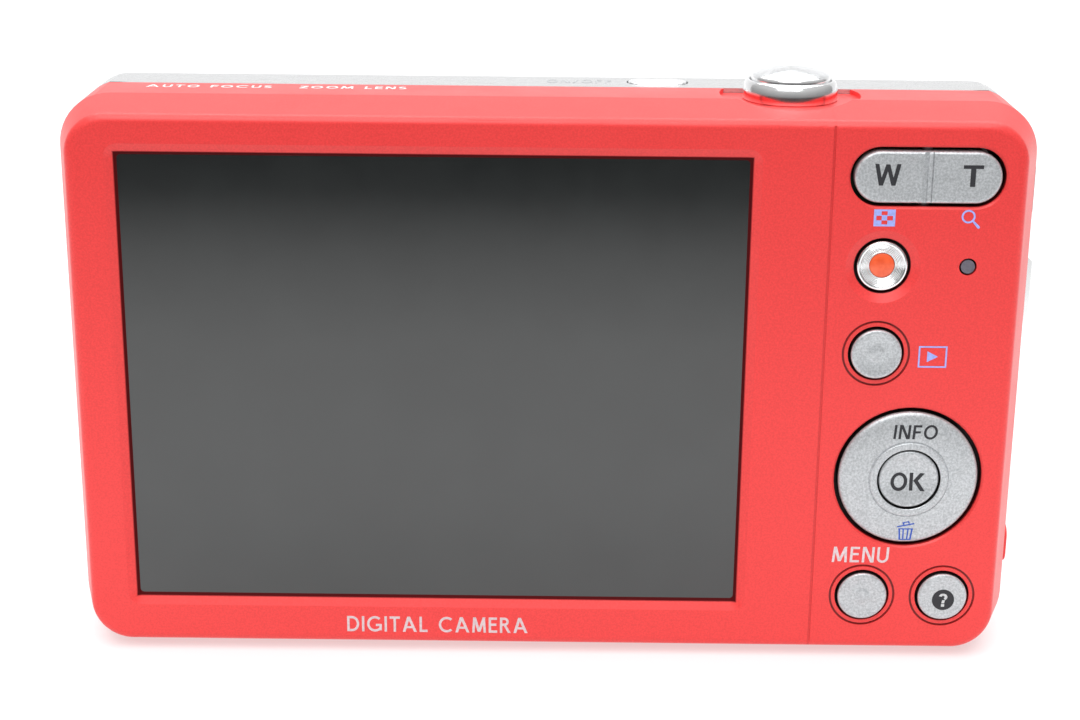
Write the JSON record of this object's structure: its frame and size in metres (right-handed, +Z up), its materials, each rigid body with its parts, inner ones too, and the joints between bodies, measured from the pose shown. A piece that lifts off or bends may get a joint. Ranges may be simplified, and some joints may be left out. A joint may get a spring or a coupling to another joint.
{
  "type": "compact digital camera",
  "caption": "Slim compact digital camera with a flush lens, large rear screen, zoom rocker, round rear keys, arrow pad, domed shutter button and a battery door in its base.",
  "frame": {"origin": "middle of the flat base, under the middle of the body", "axes": "+X to the right seen from the screen side, +Y out of the lens, +Z up through the shutter button"},
  "size_m": [0.097, 0.0211, 0.0595],
  "materials": {
    "red_case": "satin metallic red paint",
    "silver_trim": "bright satin silver",
    "screen_glass": "glossy dark window, display off",
    "black_plastic": "moulded black plastic",
    "steel": "stamped steel",
    "board": "green solder mask",
    "button_silver": "fine metallic silver paint",
    "bright_metal": "polished, with turned rings on faces",
    "red_button": "orange red gloss",
    "lamp_plastic": "smoked light guide",
    "spring_steel": "drawn wire",
    "clear_window": "clear moulded window",
    "mirror_metal": "bright reflector",
    "lens_glass": "coated glass",
    "barrel_metal": "turned, satin",
    "blade_black": "matt black",
    "sensor_glass": "sensor cover glass",
    "gear_plastic": "natural acetal",
    "battery_wrap": "printed wrap, left plain",
    "contact_brass": "gold flashed",
    "lock_plastic": "orange lever plastic",
    "card_plastic": "plain black",
    "socket_brass": "nickel plated brass",
    "grey_cover": "grey elastomer flap",
    "screw_steel": "plated cross head screws"
  },
  "bodies": {
    "camera_body": {"af_lamp_window": "clear_window", "battery": "battery_wrap", "battery_box": "black_plastic", "battery_contacts": "contact_brass", "board_chips": "black_plastic", "card_slot": "steel", "case_screws": "screw_steel", "chassis_plate": "steel", "dome_switches": "steel", "door_pin": "spring_steel", "flash_capacitor": "black_plastic", "flash_reflector": "mirror_metal", "flash_tube": "lens_glass", "flash_window": "clear_window", "front_frame": "silver_trim", "front_panel": "red_case", "image_sensor": "sensor_glass", "indicator_lamp": "lamp_plastic", "key_board": "board", "lcd_frame": "steel", "lcd_panel": "black_plastic", "lens_housing": "black_plastic", "lens_trim_ring": "bright_metal", "main_board": "board", "rear_cover": "red_case", "screen_window": "screen_glass", "sensor_plate": "steel", "shutter_collar": "bright_metal", "shutter_spring": "spring_steel", "speaker": "black_plastic", "strap_eyelet": "bright_metal", "top_switch_board": "board", "tripod_socket": "socket_brass", "usb_socket": "steel", "zoom_motor": "steel"},
    "zoom_rocker": {"zoom_rocker": "button_silver"},
    "record_button": {"record_button": "bright_metal", "record_button_dot": "red_button"},
    "playback_button": {"playback_button": "button_silver"},
    "menu_button": {"menu_button": "button_silver"},
    "help_button": {"help_button": "button_silver"},
    "pad_gimbal": {"pad_gimbal": "black_plastic"},
    "arrow_pad": {"arrow_pad": "button_silver"},
    "ok_button": {"ok_button": "button_silver"},
    "shutter_button": {"shutter_button": "bright_metal"},
    "power_button": {"power_button": "bright_metal"},
    "lens_barrel_outer": {"lens_barrel_outer": "barrel_metal", "rear_lens_group": "lens_glass"},
    "lens_barrel_inner": {"lens_barrel_inner": "barrel_metal", "barrel_cap": "black_plastic", "front_lens_group": "lens_glass"},
    "cam_ring": {"cam_ring": "black_plastic"},
    "motor_pinion": {"motor_pinion": "gear_plastic"},
    "barrier_blade_upper": {"barrier_blade_upper": "blade_black"},
    "barrier_blade_lower": {"barrier_blade_lower": "blade_black"},
    "battery_door": {"battery_door": "red_case"},
    "door_latch": {"door_latch": "black_plastic"},
    "battery_lock": {"battery_lock": "lock_plastic"},
    "memory_card": {"memory_card": "card_plastic"},
    "connector_cover": {"connector_cover": "grey_cover"}
  },
  "joints": [
    {"name": "shutter_press", "type": "slide", "parent": "camera_body", "child": "shutter_button", "axis": [0, 0, -1], "range_m": [0, 0.0008], "stiffness_N_per_m": 1000, "springref_m": -0.0004, "deforming": ["shutter_spring"]},
    {"name": "power_press", "type": "slide", "parent": "camera_body", "child": "power_button", "axis": [0, 0, -1], "range_m": [0, 0.0003], "stiffness_N_per_m": 1000, "springref_m": -0.0004},
    {"name": "zoom_rock", "type": "hinge", "parent": "camera_body", "child": "zoom_rocker", "pos_m": [0.03652, -0.00785, 0.05066], "axis": [0, 0, 1], "range_deg": [-3, 3], "stiffness_Nm_per_rad": 0.02},
    {"name": "record_press", "type": "slide", "parent": "camera_body", "child": "record_button", "axis": [0, 1, 0], "range_m": [0, 0.00035], "stiffness_N_per_m": 1000, "springref_m": -0.0004},
    {"name": "playback_press", "type": "slide", "parent": "camera_body", "child": "playback_button", "axis": [0, 1, 0], "range_m": [0, 0.00035], "stiffness_N_per_m": 1000, "springref_m": -0.0004},
    {"name": "pad_tilt_up_down", "type": "hinge", "parent": "camera_body", "child": "pad_gimbal", "pos_m": [0.03648, -0.00728, 0.01988], "axis": [1, 0, 0], "range_deg": [-1.8, 1.8], "stiffness_Nm_per_rad": 0.02},
    {"name": "pad_tilt_left_right", "type": "hinge", "parent": "pad_gimbal", "child": "arrow_pad", "pos_m": [0.03648, -0.00728, 0.01988], "axis": [0, 0, 1], "range_deg": [-1.8, 1.8], "stiffness_Nm_per_rad": 0.02},
    {"name": "ok_press", "type": "slide", "parent": "arrow_pad", "child": "ok_button", "axis": [0, 1, 0], "range_m": [0, 0.00035], "stiffness_N_per_m": 1000, "springref_m": -0.0004},
    {"name": "menu_press", "type": "slide", "parent": "camera_body", "child": "menu_button", "axis": [0, 1, 0], "range_m": [0, 0.00035], "stiffness_N_per_m": 1000, "springref_m": -0.0004},
    {"name": "help_press", "type": "slide", "parent": "camera_body", "child": "help_button", "axis": [0, 1, 0], "range_m": [0, 0.00035], "stiffness_N_per_m": 1000, "springref_m": -0.0004},
    {"name": "lens_extend", "type": "slide", "parent": "camera_body", "child": "lens_barrel_outer", "axis": [0, 1, 0], "range_m": [0, 0.008]},
    {"name": "inner_barrel_extend", "type": "slide", "parent": "lens_barrel_outer", "child": "lens_barrel_inner", "axis": [0, 1, 0], "range_m": [0, 0.007]},
    {"name": "cam_ring_turn", "type": "hinge", "parent": "camera_body", "child": "cam_ring", "pos_m": [-0.013, 0, 0.0285], "axis": [0, 1, 0], "range_deg": [0, 60]},
    {"name": "pinion_turn", "type": "hinge", "parent": "camera_body", "child": "motor_pinion", "pos_m": [0.00196, 0, 0.01354], "axis": [0, 1, 0], "range_deg": [-360.1, 0]},
    {"name": "upper_blade_open", "type": "slide", "parent": "lens_barrel_inner", "child": "barrier_blade_upper", "axis": [0, 0, 1], "range_m": [0, 0.0043]},
    {"name": "lower_blade_open", "type": "slide", "parent": "lens_barrel_inner", "child": "barrier_blade_lower", "axis": [0, 0, -1], "range_m": [0, 0.0043]},
    {"name": "door_swing", "type": "hinge", "parent": "camera_body", "child": "battery_door", "pos_m": [0.0236, 0.007, 0.0008], "axis": [1, 0, 0], "range_deg": [0, 85]},
    {"name": "latch_slide", "type": "slide", "parent": "battery_door", "child": "door_latch", "axis": [-1, 0, 0], "range_m": [0, 0.0015]},
    {"name": "battery_lock_slide", "type": "slide", "parent": "camera_body", "child": "battery_lock", "axis": [-1, 0, 0], "range_m": [0, 0.0016], "stiffness_N_per_m": 300, "springref_m": -0.001},
    {"name": "card_press", "type": "slide", "parent": "camera_body", "child": "memory_card", "axis": [0, 0, 1], "range_m": [0, 0.0008], "stiffness_N_per_m": 500, "springref_m": -0.001},
    {"name": "connector_cover_swing", "type": "hinge", "parent": "camera_body", "child": "connector_cover", "pos_m": [0.0473, -0.0009, 0.0443], "axis": [0, 1, 0], "range_deg": [0, 80]}
  ],
  "couplings": [
    {"joint": "inner_barrel_extend", "follows": "lens_extend", "ratio": 0.875},
    {"joint": "cam_ring_turn", "follows": "lens_extend", "rad_per_m": 130.9},
    {"joint": "pinion_turn", "follows": "lens_extend", "rad_per_m": -785.4},
    {"joint": "lower_blade_open", "follows": "upper_blade_open", "ratio": 1}
  ]
}
